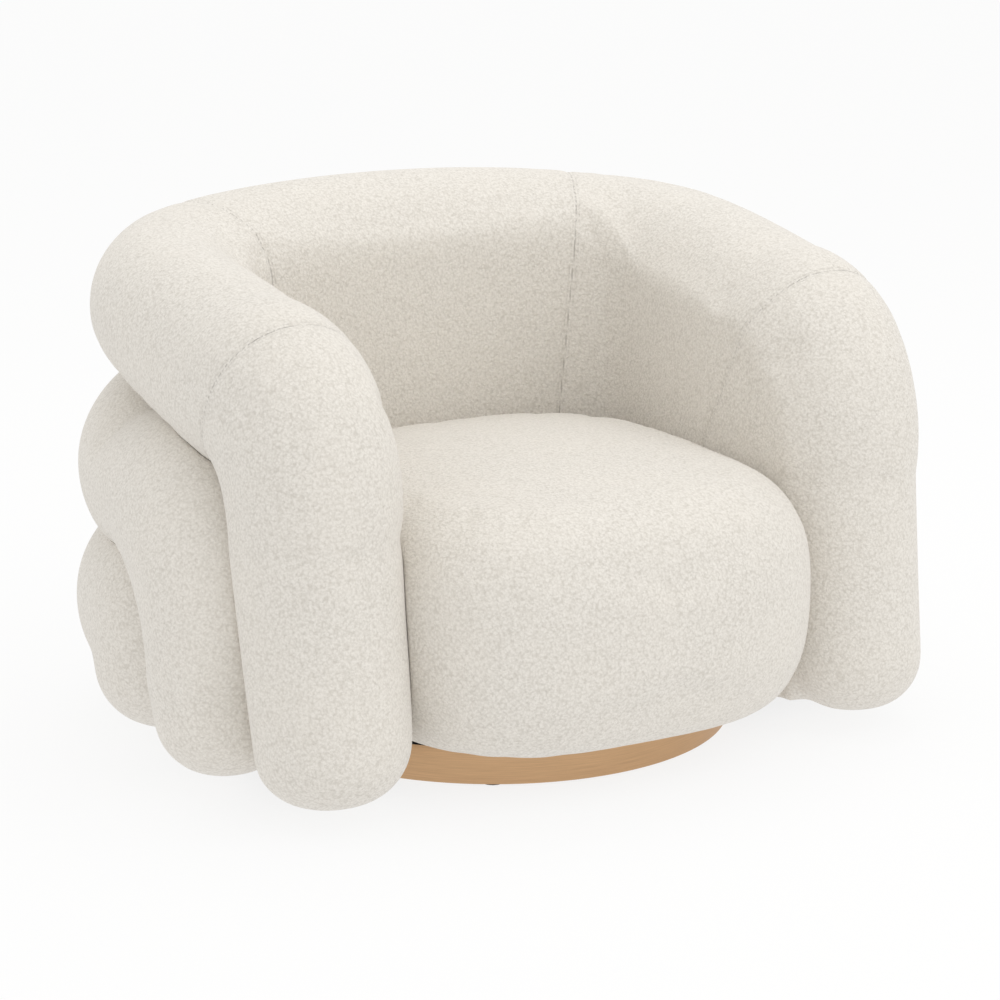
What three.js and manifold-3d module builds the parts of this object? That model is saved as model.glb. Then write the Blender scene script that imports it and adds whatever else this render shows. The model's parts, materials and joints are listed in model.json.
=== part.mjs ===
// Swivel armchair, upholstered: three padded rolls wrap the back and arms and come down in front as
// round-ended legs, a bulging tight seat sits between them, and a round metal-banded plinth carries
// it all on a ball-bearing swivel plate.
// Millimetres. +Z is up, the sitter faces -Y, and the origin is on the floor on the swivel axis.
import * as THREE from 'three';
import { mergeVertices } from 'three/addons/utils/BufferGeometryUtils.js';
import Module from 'manifold-3d';

const wasm = await Module();
wasm.setup();

// ---------------------------------------------------------------- driving dimensions
const GAP = 0.3; // left between two pieces that touch

// Centre line of the padded wall in plan: straight arms that run into a superellipse behind.
const wall = {
  halfWidth: 396, // centre line to the middle of the chair, at the arms
  backDepth: 318, // centre line behind the swivel axis
  curveFrom: 51, // where the straight arm becomes the curved back
  toe: 0.03, // how much the arms close in towards the front, per mm
  power: 3, // 2 is an ellipse, more is squarer
  ribDepth: 40, // timber ribs and posts, across the wall
  skin: 3, // hardboard faces
};

// The padded rolls. Each runs round the wall, bends down in front and ends in a leg.
// out: centre line outside the wall's; drop: how far it falls from the back to the arm's front;
// legY: leg centre line under the bend; reachY, reachZ: the bend's size; lean: forward per mm down;
// tall, legTall: half-height of the section over its half-width, along the wall and in the leg;
// fill: extra thickness into the corner of the bend. A roll with no reach has a square corner.
const topRoll = {
  out: 0, height: 590, drop: 75, legY: -254, reachY: 150, reachZ: 176, lean: 0.15,
  backRadius: 104, armRadius: 109, legRadius: 102, footRadius: 92,
  tall: 1.03, legTall: 0.97, footZ: 22, footRound: 72, fill: 14,
};
const middleRoll = {
  out: 23, height: 403, drop: 70, legY: -113, reachY: 246, reachZ: 188, lean: 0.13,
  backRadius: 110, armRadius: 101, legRadius: 91, footRadius: 82,
  tall: 1.05, legTall: 1.1, footZ: 22, footRound: 66, fill: 54,
};
const bottomRoll = {
  out: 28, height: 182, drop: 13, legY: 112, reachY: 0, reachZ: 0, lean: 0.1,
  backRadius: 102, armRadius: 109, legRadius: 109, footRadius: 98,
  tall: 1.14, legTall: 1.12, footZ: 22, footRound: 72, fill: 0,
};
const dropPower = 1.85; // how late the arms' fall towards the front sets in

const seat = {
  sideTuck: 31, front: -447, middle: -83, edge: 367, crown: 18, // edge: where the flat top begins
  frontPower: 3, rearPower: 2.65, // roundness in plan
  roundDepth: 106, sidePower: 2.6, // how far and how squarely the bulge draws in above and below
  tuck: 30, // pressed in behind the lining at the back, as sideTuck is at the arms
};
seat.halfWidth = wall.halfWidth - topRoll.armRadius + seat.sideTuck;

const plinth = {
  radius: 316, bandThickness: 1.5, bandBottom: 2.5, bandTop: 55,
  boardThickness: 18, boardTop: 50, coreWidth: 34,
};
const glide = { radius: 15, height: 5.5, count: 6 };

// Swivel plate: two pressed steel races with a caged ring of balls between them.
const bearing = {
  outer: 165, inner: 60, plate: 2.5, trackRadius: 120, trackWidth: 16, trackRise: 0.9,
  ballRadius: 4, balls: 10, cageThickness: 2, cageWidth: 14, running: 0.25,
};
const screw = {
  radius: 3, headRadius: 6, headHeight: 2.6, length: 14, upperCircle: 148, lowerCircle: 84, count: 4,
};

// Timber frame above the swivel.
const frame = {
  board: 18, boardHalf: 180, bearerHeight: 40, bearerWidth: 70, bearerY: 130,
  railThickness: 25, railHeight: 76, halfWidth: 225, front: -306, rear: wall.backDepth - 153,
  block: 70, ribThickness: 18, ribDrop: 26, postWidth: 44, postCount: 6, frontPostWidth: 44, seatRib: 292,
  coverThickness: 1.5, coverHole: 172, coverHalf: 190, coverFront: -318,
};
const web = { width: 50, thickness: 2, lengthwise: 4, crosswise: 4, lift: 1.6 };

// Mesh fineness.
const ROUND = 48; // round the plinth
const RACE_SIDES = 20;
const CAGE_SIDES = 24;
const GLIDE_SIDES = 14;
const SIDES = 16; // round a roll
const SEAT_SIDES = 32;
const SEAT_LEVELS = 8;
const WALL_STEPS = 10; // stations along half the wall
const BEND_STEPS = 5;
const LEG_STEPS = 3;
const FOOT_SHARES = [0, 0.09, 0.34, 0.66]; // of footRound, up from the end of a leg
const BEND_BLEND = 1.3; // bends from the leg over which its section turns into the wall's

// ---------------------------------------------------------------- worked-out sizes
const boardBottom = plinth.boardTop - plinth.boardThickness;
const raceGap = 2 * (bearing.ballRadius + bearing.trackRise + bearing.running);
const lowerRaceTop = plinth.boardTop + GAP + bearing.plate;
const upperRaceBottom = lowerRaceTop + raceGap;
const frameBottom = upperRaceBottom + bearing.plate + GAP;
const bearerBottom = frameBottom + frame.board + GAP;
const railBottom = bearerBottom + frame.bearerHeight + GAP;
const railTop = railBottom + frame.railHeight;
const faceOffset = wall.ribDepth / 2 + GAP + wall.skin; // outside of a hardboard face
const wallFront = topRoll.legY + frame.frontPostWidth; // where the wall ends behind the front posts
const bearerEnd = wall.halfWidth + wall.ribDepth / 2;

// ---------------------------------------------------------------- materials
const paint = (color, roughness, metalness = 0) =>
  new THREE.MeshStandardMaterial({ color, roughness, metalness });
const boucle = paint(0xe6e1d6, 0.95);
const brass = paint(0xa07c54, 0.35, 1);
const steel = paint(0x8c8f92, 0.45, 1);
const plywood = paint(0xcaa878, 0.7);
const timber = paint(0xb98f5e, 0.75);
const hardboard = paint(0x7b5a3c, 0.85);
const webbing = paint(0x3b342c, 0.9);
const nylon = paint(0x2a2a2a, 0.6);
const dustCloth = paint(0x1f1f1f, 0.95);

// ---------------------------------------------------------------- solids and booleans
/** A manifold solid from any closed geometry. */
function toSolid(geometry) {
  const bare = geometry.clone();
  bare.deleteAttribute('normal');
  bare.deleteAttribute('uv');
  const merged = mergeVertices(bare, 1e-4);
  const triVerts = [];
  const index = merged.index.array;
  for (let i = 0; i < index.length; i += 3) {
    const [a, b, c] = [index[i], index[i + 1], index[i + 2]];
    if (a !== b && b !== c && c !== a) triVerts.push(a, b, c);
  }
  const vertProperties = new Float32Array(merged.attributes.position.array);
  const mesh = new wasm.Mesh({ numProp: 3, vertProperties, triVerts: new Uint32Array(triVerts) });
  return new wasm.Manifold(mesh);
}

/** A three.js geometry from a manifold solid. */
function toGeometry(solid) {
  const mesh = solid.getMesh();
  const geometry = new THREE.BufferGeometry();
  const flat = new Float32Array(mesh.numVert * 3);
  for (let v = 0; v < mesh.numVert; v += 1) {
    for (let k = 0; k < 3; k += 1) flat[3 * v + k] = mesh.vertProperties[v * mesh.numProp + k];
  }
  geometry.setAttribute('position', new THREE.BufferAttribute(flat, 3));
  geometry.setIndex(Array.from(mesh.triVerts));
  return geometry;
}

/** Closed geometry through rings of equal length, with a fan over each end ring. */
function loft(rings) {
  const points = rings.flat();
  const sides = rings[0].length;
  const index = [];
  for (let r = 0; r + 1 < rings.length; r += 1) {
    for (let k = 0; k < sides; k += 1) {
      const [a, b] = [r * sides + k, r * sides + ((k + 1) % sides)];
      index.push(a, b, a + sides, b, b + sides, a + sides);
    }
  }
  for (const [first, turned] of [[0, true], [(rings.length - 1) * sides, false]]) {
    const middle = new THREE.Vector3();
    for (let k = 0; k < sides; k += 1) middle.add(points[first + k]);
    points.push(middle.divideScalar(sides));
    for (let k = 0; k < sides; k += 1) {
      const [a, b] = [first + k, first + ((k + 1) % sides)];
      index.push(...(turned ? [points.length - 1, b, a] : [points.length - 1, a, b]));
    }
  }
  if (signedVolume(points, index) < 0) index.reverse();
  const geometry = new THREE.BufferGeometry().setFromPoints(points);
  return geometry.setIndex(index);
}

function signedVolume(points, index) {
  let sum = 0;
  const cross = new THREE.Vector3();
  for (let i = 0; i < index.length; i += 3) {
    sum += points[index[i]].dot(cross.crossVectors(points[index[i + 1]], points[index[i + 2]]));
  }
  return sum;
}

/** A box between two corners. */
function block(x0, x1, y0, y1, z0, z1) {
  const geometry = new THREE.BoxGeometry(x1 - x0, y1 - y0, z1 - z0);
  return geometry.translate((x0 + x1) / 2, (y0 + y1) / 2, (z0 + z1) / 2);
}

/** A disc or ring about the swivel axis, from its half section as [radius, z] pairs. */
function turned(section, segments) {
  const outline = [...section, section[0]].map(([radius, z]) => new THREE.Vector2(radius, z));
  const geometry = new THREE.LatheGeometry(outline, segments);
  geometry.rotateX(Math.PI / 2);
  const solid = toSolid(geometry);
  if (solid.volume() > 0) return geometry;
  const index = geometry.index.array;
  geometry.setIndex(Array.from(index).reverse());
  return geometry;
}

/** An upright round bar, from its axis position and ends. */
function bar(radius, x, y, z0, z1, segments = 12) {
  const geometry = new THREE.CylinderGeometry(radius, radius, z1 - z0, segments);
  return geometry.rotateX(Math.PI / 2).translate(x, y, (z0 + z1) / 2);
}

const smooth = (t) => {
  const c = Math.min(Math.max(t, 0), 1);
  return c * c * (3 - 2 * c);
};
const mix = (a, b, t) => a + (b - a) * t;

// ---------------------------------------------------------------- the wall's line and the rolls
/** Stations on the right half of the wall's line, moved outwards by out, from y = frontY to the back. */
function wallLine(out, frontY, steps) {
  const fine = 400;
  const line = [];
  const straight = Math.max(0, wall.curveFrom - frontY);
  for (let i = 0; i < 20; i += 1) {
    const ahead = straight * (1 - i / 20);
    if (straight > 0) line.push([wall.halfWidth + out - wall.toe * ahead, wall.curveFrom - ahead]);
  }
  for (let i = 0; i <= fine; i += 1) {
    const angle = (Math.PI / 2) * (i / fine);
    const x = (wall.halfWidth + out) * Math.abs(Math.cos(angle)) ** (2 / wall.power);
    const rise = (wall.backDepth - wall.curveFrom + out) * Math.sin(angle) ** (2 / wall.power);
    if (wall.curveFrom + rise >= frontY) line.push([i === fine ? 0 : x, wall.curveFrom + rise]);
  }
  const along = [0];
  for (let i = 1; i < line.length; i += 1) {
    along.push(along[i - 1] + Math.hypot(line[i][0] - line[i - 1][0], line[i][1] - line[i - 1][1]));
  }
  const whole = along[along.length - 1];
  const stations = [];
  for (let s = 0; s <= steps; s += 1) {
    const target = (whole * s) / steps;
    let i = 1;
    while (i < line.length - 1 && along[i] < target) i += 1;
    const t = (target - along[i - 1]) / (along[i] - along[i - 1]);
    const at = [mix(line[i - 1][0], line[i][0], t), mix(line[i - 1][1], line[i][1], t)];
    const run = [line[i][0] - line[i - 1][0], line[i][1] - line[i - 1][1]];
    const size = Math.hypot(...run);
    const outward = new THREE.Vector3(run[1] / size, -run[0] / size, 0);
    const fromBack = whole - target;
    stations.push({ at: new THREE.Vector3(at[0], at[1], 0), outward, share: s / steps, fromBack });
  }
  stations[steps].at.x = 0;
  stations[steps].outward.set(0, 1, 0);
  return stations;
}

/** Height of a roll's centre line at a share of the way from the arm's front to the back. */
const rollHeight = (roll, share) => roll.height - roll.drop * (1 - share) ** dropPower;

/** Along the wall's line towards the front, at a station. */
const forward = (station) => new THREE.Vector3(station.outward.y, -station.outward.x, 0);

/** Where the bend of a roll starts and where it has come down into the leg. */
function bendEnds(roll) {
  const front = wallLine(roll.out, roll.legY + roll.reachY, WALL_STEPS)[0];
  const start = front.at.clone().setZ(rollHeight(roll, 0));
  const end = start.clone().addScaledVector(forward(front), roll.reachY);
  return { front, start, end: end.setZ(start.z - roll.reachZ) };
}

/** Stations of a leg, from its rounded foot up to z = topZ. */
function legStations(roll, topZ) {
  const { front, end } = bendEnds(roll);
  const length = topZ - roll.footZ;
  const onLeg = (up) => new THREE.Vector3(end.x, end.y - roll.lean * (length - up), roll.footZ + up);
  const legRadius = (up) => mix(roll.footRadius, roll.legRadius, up / length);
  const stations = [];
  for (const share of FOOT_SHARES) {
    const up = share * roll.footRound;
    const inset = roll.footRound * (1 - Math.sqrt(1 - (1 - share) ** 2));
    const radius = legRadius(up) - inset;
    stations.push({ at: onLeg(up), outward: front.outward, radius, tall: roll.legTall });
  }
  for (let i = 0; i <= LEG_STEPS; i += 1) {
    const up = mix(roll.footRound, length, i / LEG_STEPS);
    stations.push({ at: onLeg(up), outward: front.outward, radius: legRadius(up), tall: roll.legTall });
  }
  return stations;
}

/** Stations of a roll along the wall, from the front of the arm to the back. */
function wallStations(roll) {
  return wallLine(roll.out, roll.legY + roll.reachY, WALL_STEPS).map((station) => ({
    at: station.at.clone().setZ(rollHeight(roll, station.share)),
    outward: station.outward,
    radius: mix(roll.armRadius, roll.backRadius, smooth(station.share * 2)),
    tall: mix(roll.legTall, roll.tall, smooth((1 + station.share) / BEND_BLEND)),
  }));
}

/** Centre line of the right half of a roll, from the foot to the back, with its half-sizes. */
function rollStations(roll) {
  const { front, start, end } = bendEnds(roll);
  const stations = legStations(roll, end.z);
  for (let i = BEND_STEPS - 1; i > 0; i -= 1) {
    const angle = (Math.PI / 2) * (i / BEND_STEPS);
    const at = start.clone().addScaledVector(forward(front), roll.reachY * Math.sin(angle));
    at.z -= roll.reachZ * (1 - Math.cos(angle));
    const share = 1 - i / BEND_STEPS;
    stations.push({
      at,
      outward: front.outward,
      radius: mix(roll.legRadius, roll.armRadius, share),
      tall: mix(roll.legTall, roll.tall, smooth(share / BEND_BLEND)),
      fill: roll.fill * Math.sin(2 * angle),
    });
  }
  return [...stations, ...wallStations(roll)];
}

const mirrored = (ring) => ring.map((p) => new THREE.Vector3(-p.x, p.y, p.z));

/** Rings of a whole part from those of its right half, which end on the middle plane. */
const bothSides = (rings) => [...rings, ...rings.slice(0, -1).reverse().map(mirrored)];

/** Elliptical rings round stations, grown by extra; along gives the way past the last one. */
function tubeRings(stations, extra, lastAlong) {
  return stations.map((station, i) => {
    const before = stations[Math.max(i - 1, 0)].at;
    const last = i === stations.length - 1;
    const along = last ? lastAlong : stations[i + 1].at.clone().sub(before);
    const up = new THREE.Vector3().crossVectors(station.outward, along).normalize();
    const fill = (station.fill ?? 0) / 2;
    const centre = station.at.clone().addScaledVector(up, fill);
    return Array.from({ length: SIDES }, (_, k) => {
      const angle = (2 * Math.PI * k) / SIDES;
      const across = (station.radius + extra) * Math.cos(angle);
      const point = centre.clone().addScaledVector(station.outward, across);
      return point.addScaledVector(up, (station.radius * station.tall + fill + extra) * Math.sin(angle));
    });
  });
}

/** Rounds off the end of a tube beyond a station, in the direction given. */
function domed(station, direction, depth) {
  return [0.97, 0.8, 0.45].map((share) => ({
    ...station,
    at: station.at.clone().addScaledVector(direction, depth * share),
    radius: station.radius * Math.sqrt(1 - share ** 2),
  }));
}

/** The full round roll, grown by extra all over. */
function rollSolid(roll, extra = 0) {
  const acrossBack = new THREE.Vector3(-1, 0, 0);
  if (roll.reachY > 0) {
    const rings = tubeRings(rollStations(roll), extra, acrossBack);
    if (extra > 0) rings[0].forEach((point) => point.setZ(point.z - extra));
    return toSolid(loft(bothSides(rings)));
  }
  const run = wallStations(roll);
  const nose = domed(run[0], forward(run[0]), roll.legRadius);
  const tube = toSolid(loft(bothSides(tubeRings([...nose, ...run], extra, acrossBack))));
  const leg = legStations(roll, rollHeight(roll, 0));
  const upright = new THREE.Vector3(0, 0, 1);
  const whole = [...leg, ...domed(leg[leg.length - 1], upright, roll.legRadius).reverse()];
  const rings = tubeRings(whole, extra, upright);
  return tube.add(toSolid(loft(rings))).add(toSolid(loft(rings.map(mirrored))));
}

/** Square rings that follow stations of the wall, between two offsets and two heights. */
function stripRings(stations, inner, outer, low, high) {
  const value = (v, station) => (typeof v === 'function' ? v(station) : v);
  return stations.map((station) => {
    const corner = (offset, z) => station.at.clone().addScaledVector(station.outward, offset).setZ(z);
    const [a, b] = [value(inner, station), value(outer, station)];
    const [z0, z1] = [value(low, station), value(high, station)];
    return [corner(a, z0), corner(b, z0), corner(b, z1), corner(a, z1)];
  });
}

/** The whole strip, on both sides of the chair. */
const strip = (...spec) => loft(bothSides(stripRings(...spec)));

// ---------------------------------------------------------------- assembly
const chair = new THREE.Group();

function add(name, shape, material) {
  const geometry = shape.isBufferGeometry ? shape : toGeometry(shape);
  const flat = geometry.index ? geometry.toNonIndexed() : geometry;
  flat.deleteAttribute('normal');
  flat.computeVertexNormals();
  const mesh = new THREE.Mesh(flat, material);
  mesh.name = name;
  chair.add(mesh);
  return mesh;
}

/** Places on a circle about the swivel axis. */
function circle(radius, count, startAngle = 0) {
  return Array.from({ length: count }, (_, i) => {
    const angle = startAngle + (2 * Math.PI * i) / count;
    return [radius * Math.cos(angle), radius * Math.sin(angle)];
  });
}

/** A solid with upright round holes bored through it at the given places. */
function bored(solid, places, radius, z0, z1) {
  return places.reduce((part, [x, y]) => part.subtract(toSolid(bar(radius, x, y, z0, z1))), solid);
}

const upperHoles = circle(screw.upperCircle, screw.count, Math.PI / 4);
const lowerHoles = circle(screw.lowerCircle, screw.count, Math.PI / 4);

function makePlinth() {
  const { radius, bandThickness, bandBottom, bandTop, boardTop, coreWidth } = plinth;
  const inside = radius - bandThickness;
  const fit = inside - GAP;
  const band = [[inside, bandBottom], [radius, bandBottom], [radius, bandTop], [inside, bandTop]];
  add('plinth_band', turned(band, ROUND), brass);
  const coreTop = boardBottom - GAP;
  const coreBottom = glide.height + GAP;
  const coreInside = fit - coreWidth;
  const core = [[coreInside, coreBottom], [fit, coreBottom], [fit, coreTop], [coreInside, coreTop]];
  add('plinth_core', turned(core, ROUND), plywood);
  const board = toSolid(bar(fit, 0, 0, boardBottom, boardTop, ROUND));
  const pilot = lowerRaceTop + screw.headHeight / 2 - screw.length;
  add('plinth_top_board', bored(board, lowerHoles, screw.radius + GAP, pilot, boardTop + 1), plywood);
  circle(fit - coreWidth / 2, glide.count).forEach(([x, y], i) => {
    const glideRadius = Math.min(glide.radius, coreWidth / 2 - 2);
    add(`floor_glide_${i + 1}`, bar(glideRadius, x, y, 0, glide.height, GLIDE_SIDES), nylon);
  });
}

function makeBearing() {
  const { outer, inner, plate, trackRadius, trackWidth, trackRise, ballRadius } = bearing;
  const [trackIn, trackOut] = [trackRadius - trackWidth / 2, trackRadius + trackWidth / 2];
  const race = (face, away, sign) => [
    [inner, away], [outer, away], [outer, face], [trackOut, face],
    [trackOut, face + sign * trackRise], [trackIn, face + sign * trackRise], [trackIn, face], [inner, face],
  ];
  const lowerFace = plinth.boardTop + GAP;
  const lower = toSolid(turned(race(lowerRaceTop, lowerFace, 1), RACE_SIDES));
  const hole = screw.radius + GAP;
  add('bearing_lower_race', bored(lower, lowerHoles, hole, lowerFace - 1, lowerRaceTop + 1), steel);
  const upperTop = upperRaceBottom + plate;
  const upper = toSolid(turned(race(upperRaceBottom, upperTop, -1), RACE_SIDES));
  add('bearing_upper_race', bored(upper, upperHoles, hole, upperRaceBottom - 1, upperTop + 1), steel);

  const middle = (lowerRaceTop + upperRaceBottom) / 2;
  const { cageThickness, cageWidth } = bearing;
  const half = cageThickness / 2;
  const [cageIn, cageOut] = [trackRadius - cageWidth / 2, trackRadius + cageWidth / 2];
  const [under, over] = [middle - half, middle + half];
  const section = [[cageIn, under], [cageOut, under], [cageOut, over], [cageIn, over]];
  let cage = toSolid(turned(section, CAGE_SIDES));
  circle(trackRadius, bearing.balls).forEach(([x, y]) => {
    const ball = new THREE.SphereGeometry(ballRadius, 6, 4).rotateX(Math.PI / 2).translate(x, y, middle);
    cage = cage.add(toSolid(ball));
  });
  add('ball_cage', cage, steel);
}

function makeScrews() {
  const { radius, headRadius, headHeight, length } = screw;
  lowerHoles.forEach(([x, y], i) => {
    const seatZ = lowerRaceTop + GAP;
    const head = toSolid(bar(headRadius, x, y, seatZ, seatZ + headHeight, 6));
    const shank = toSolid(bar(radius, x, y, seatZ + headHeight / 2 - length, seatZ + headHeight / 2, 8));
    add(`lower_screw_${i + 1}`, head.add(shank), steel);
  });
  upperHoles.forEach(([x, y], i) => {
    const seatZ = upperRaceBottom - GAP;
    const head = toSolid(bar(headRadius, x, y, seatZ - headHeight, seatZ, 6));
    const shank = toSolid(bar(radius, x, y, seatZ - headHeight / 2, seatZ - headHeight / 2 + length, 8));
    add(`upper_screw_${i + 1}`, head.add(shank), steel);
  });
}

function makeSeatFrame() {
  const f = frame;
  const boardTop = frameBottom + f.board;
  const board = toSolid(block(-f.boardHalf, f.boardHalf, -f.boardHalf, f.boardHalf, frameBottom, boardTop));
  const holes = bored(board, upperHoles, screw.radius + GAP, frameBottom - 1, frameBottom + screw.length);
  add('swivel_board', holes.subtract(liningBand(true)), plywood);
  const outside = toSolid(strip(line, half, half + bearerEnd / 2, bearerBottom - 1, railBottom));
  for (const [name, y] of [['front', -f.bearerY], ['rear', f.bearerY]]) {
    const [y0, y1] = [y - f.bearerWidth / 2, y + f.bearerWidth / 2];
    const bearerTop = bearerBottom + f.bearerHeight;
    const bearer = toSolid(block(-bearerEnd, bearerEnd, y0, y1, bearerBottom, bearerTop));
    add(`bearer_${name}`, bearer.subtract(outside), timber);
  }
  const inside = f.halfWidth - f.railThickness;
  const crossRail = (front) => block(-f.halfWidth, f.halfWidth, front, front + f.railThickness, railBottom, railTop);
  add('seat_rail_front', crossRail(f.front), timber);
  add('seat_rail_rear', crossRail(f.rear - f.railThickness), timber);
  const [y0, y1] = [f.front + f.railThickness + GAP, f.rear - f.railThickness - GAP];
  add('seat_rail_right', block(inside, f.halfWidth, y0, y1, railBottom, railTop), timber);
  add('seat_rail_left', block(-f.halfWidth, -inside, y0, y1, railBottom, railTop), timber);
  const corners = [
    ['front_right', 1, y0, 1], ['front_left', -1, y0, 1], ['rear_right', 1, y1, -1], ['rear_left', -1, y1, -1],
  ];
  for (const [name, side, y, inwards] of corners) {
    const outline = new THREE.Shape();
    outline.moveTo(0, 0);
    outline.lineTo(-side * f.block, 0);
    outline.lineTo(0, inwards * f.block);
    outline.closePath();
    const depth = f.railHeight - 3 * web.thickness;
    const wedge = new THREE.ExtrudeGeometry(outline, { depth, bevelEnabled: false });
    add(`corner_block_${name}`, wedge.translate(side * (inside - GAP), y, railBottom), timber);
  }
}

/** A flat strap through [along, height] places, lying along X or Y, centred on a line. */
function strap(places, alongX, centre) {
  const half = web.width / 2;
  const rings = places.map(([along, low]) =>
    [[-half, 0], [half, 0], [half, web.thickness], [-half, web.thickness]].map(([across, up]) =>
      new THREE.Vector3(alongX ? along : centre + across, alongX ? centre + across : along, low + up)));
  return loft(rings);
}

function makeWebbing() {
  const f = frame;
  const inside = f.halfWidth - f.railThickness;
  const rest = railTop + GAP;
  const spread = (low, high, count) =>
    Array.from({ length: count }, (_, i) => mix(low, high, (i + 0.5) / count));
  const columns = spread(-inside, inside, web.lengthwise);
  const rows = spread(f.front + f.railThickness, f.rear - f.railThickness, web.crosswise);
  const margin = 4;
  columns.forEach((x, i) => {
    add(`web_long_${i + 1}`, strap([[f.front + margin, rest], [f.rear - margin, rest]], false, x), webbing);
  });
  const flat = web.width / 2 + 2; // half the level stretch where two straps cross
  rows.forEach((y, row) => {
    const places = [[margin - f.halfWidth, rest], [1 - inside, rest]];
    columns.forEach((x, column) => {
      const over = (row + column) % 2 === 0;
      const low = over ? rest + web.thickness + GAP : rest - web.thickness - GAP;
      places.push([x - flat, low], [x + flat, low]);
    });
    places.push([inside - 1, rest], [f.halfWidth - margin, rest]);
    add(`web_cross_${row + 1}`, strap(places, true, y), webbing);
  });
}

/** Height of the top roll's centre line over a station of the wall. */
const topHeight = (station) => rollHeight(topRoll, Math.max(0, 1 - station.fromBack / topRun));
const ribTop = (station) => topHeight(station) - frame.ribDrop;
const ribUnder = (station) => ribTop(station) - frame.ribThickness;

const WALL_STATIONS = WALL_STEPS + 4;
const line = wallLine(0, wallFront, WALL_STATIONS);
const topRun = wallLine(0, topRoll.legY + topRoll.reachY, WALL_STEPS)[0].fromBack;
const half = wall.ribDepth / 2;

/** The wall's stations with its straight arm carried on to y. */
const carriedTo = (y) => {
  const ahead = line[0].at.y - y;
  const at = line[0].at.clone().addScaledVector(forward(line[0]), ahead);
  const first = { ...line[0], at, fromBack: line[0].fromBack + ahead };
  return [first, ...line];
};

/** The stretch of the wall's stations between two places counted in stations. */
function stretch(from, to) {
  const at = (place) => {
    const i = Math.min(Math.floor(place), WALL_STATIONS - 1);
    const [a, b, t] = [line[i], line[i + 1], place - i];
    const outward = a.outward.clone().lerp(b.outward, t);
    return { at: a.at.clone().lerp(b.at, t), outward, fromBack: mix(a.fromBack, b.fromBack, t) };
  };
  const between = line.filter((_, i) => i > from && i < to);
  return [at(from), ...between, at(to)];
}

function makeWall() {
  const f = frame;
  add('bottom_rib', strip(line, -half, half, frameBottom, frameBottom + f.ribThickness), plywood);
  const ribFront = topRoll.legY - f.frontPostWidth / 4;
  add('top_rib', strip(carriedTo(ribFront), -half, half, ribUnder, ribTop), plywood);
  add('inner_skin', strip(line, -faceOffset, -half - GAP, railBottom, ribTop), hardboard);
  add('outer_skin', strip(line, half + GAP, faceOffset, frameBottom, ribTop), hardboard);

  const perStation = line[0].fromBack / WALL_STATIONS;
  const reach = f.postWidth / 2 / perStation;
  const slack = GAP / perStation;
  const ribHigh = f.seatRib + f.ribThickness;
  let rib = toSolid(strip(line, -half, half, f.seatRib, ribHigh));
  const perSide = f.postCount / 2;
  const underRib = (station) => ribUnder(station) - GAP;
  const aboveRib = toSolid(strip(line, -half - 1, half + 1, underRib, 2 * topRoll.height));
  for (let i = 0; i < perSide; i += 1) {
    const middle = WALL_STATIONS * mix(0.14, 0.86, i / (perSide - 1));
    const own = stretch(middle - reach, middle + reach);
    const wide = stretch(middle - reach - slack, middle + reach + slack);
    const lowest = frameBottom + f.ribThickness + GAP;
    const shaft = stripRings(own, -half, half, lowest, ribUnder);
    const notch = stripRings(wide, -GAP / 2, half + 1, f.seatRib - GAP, ribHigh + GAP);
    const lap = stripRings(wide, -half - 1, GAP / 2, f.seatRib - 1, ribHigh + 1);
    for (const [side, turn] of [['right', (rings) => rings], ['left', (rings) => rings.map(mirrored)]]) {
      const post = toSolid(loft(turn(shaft))).subtract(toSolid(loft(turn(notch)))).subtract(aboveRib);
      add(`post_${side}_${i + 1}`, clearOfBearers(post), timber);
      rib = rib.subtract(toSolid(loft(turn(lap))));
    }
  }
  add('seat_rib', rib, plywood);
  add('front_post_right', frontPost(1, 0), timber);
  add('front_post_left', frontPost(-1, 0), timber);
}

/** The leaning post inside a front leg, grown by extra all over. */
function frontPost(side, extra) {
  const { end } = bendEnds(topRoll);
  const depth = frame.frontPostWidth / 2 + extra;
  const across = half + extra;
  const ring = (z) => {
    const y = end.y - topRoll.lean * (end.z - z);
    const x = side * end.x;
    const cornerAt = ([u, v]) => new THREE.Vector3(x + u * across, y + v * depth, z);
    return [[-1, -1], [1, -1], [1, 1], [-1, 1]].map(cornerAt);
  };
  const low = topRoll.footZ + topRoll.footRound - extra;
  return loft([ring(low), ring(ribUnder(line[0]) - GAP + extra)]);
}

/** Bearers grown by the gap, to clear other pieces from them. */
function bearerRoom() {
  const rooms = [-frame.bearerY, frame.bearerY].map((y) => {
    const reach = frame.bearerWidth / 2 + GAP;
    const x = bearerEnd + GAP;
    return toSolid(block(-x, x, y - reach, y + reach, bearerBottom - GAP, railBottom));
  });
  return rooms[0].add(rooms[1]);
}
const clearOfBearers = (solid) => solid.subtract(bearerRoom());

/** What the timber wall takes up inside the top roll. */
function wallRoom() {
  const reach = faceOffset + GAP;
  const above = (station) => ribTop(station) + GAP;
  const room = toSolid(strip(carriedTo(wallFront - GAP), -reach, reach, 0, above));
  const nose = carriedTo(topRoll.legY - frame.frontPostWidth / 4 - GAP).slice(0, 2);
  const [low, high] = [(station) => ribUnder(station) - 2 * GAP, (station) => ribTop(station) + GAP];
  const rings = stripRings(nose, -half - GAP, half + GAP, low, high);
  const noses = toSolid(loft(rings)).add(toSolid(loft(rings.map(mirrored))));
  return room.add(noses).add(toSolid(frontPost(1, GAP))).add(toSolid(frontPost(-1, GAP)));
}

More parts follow.
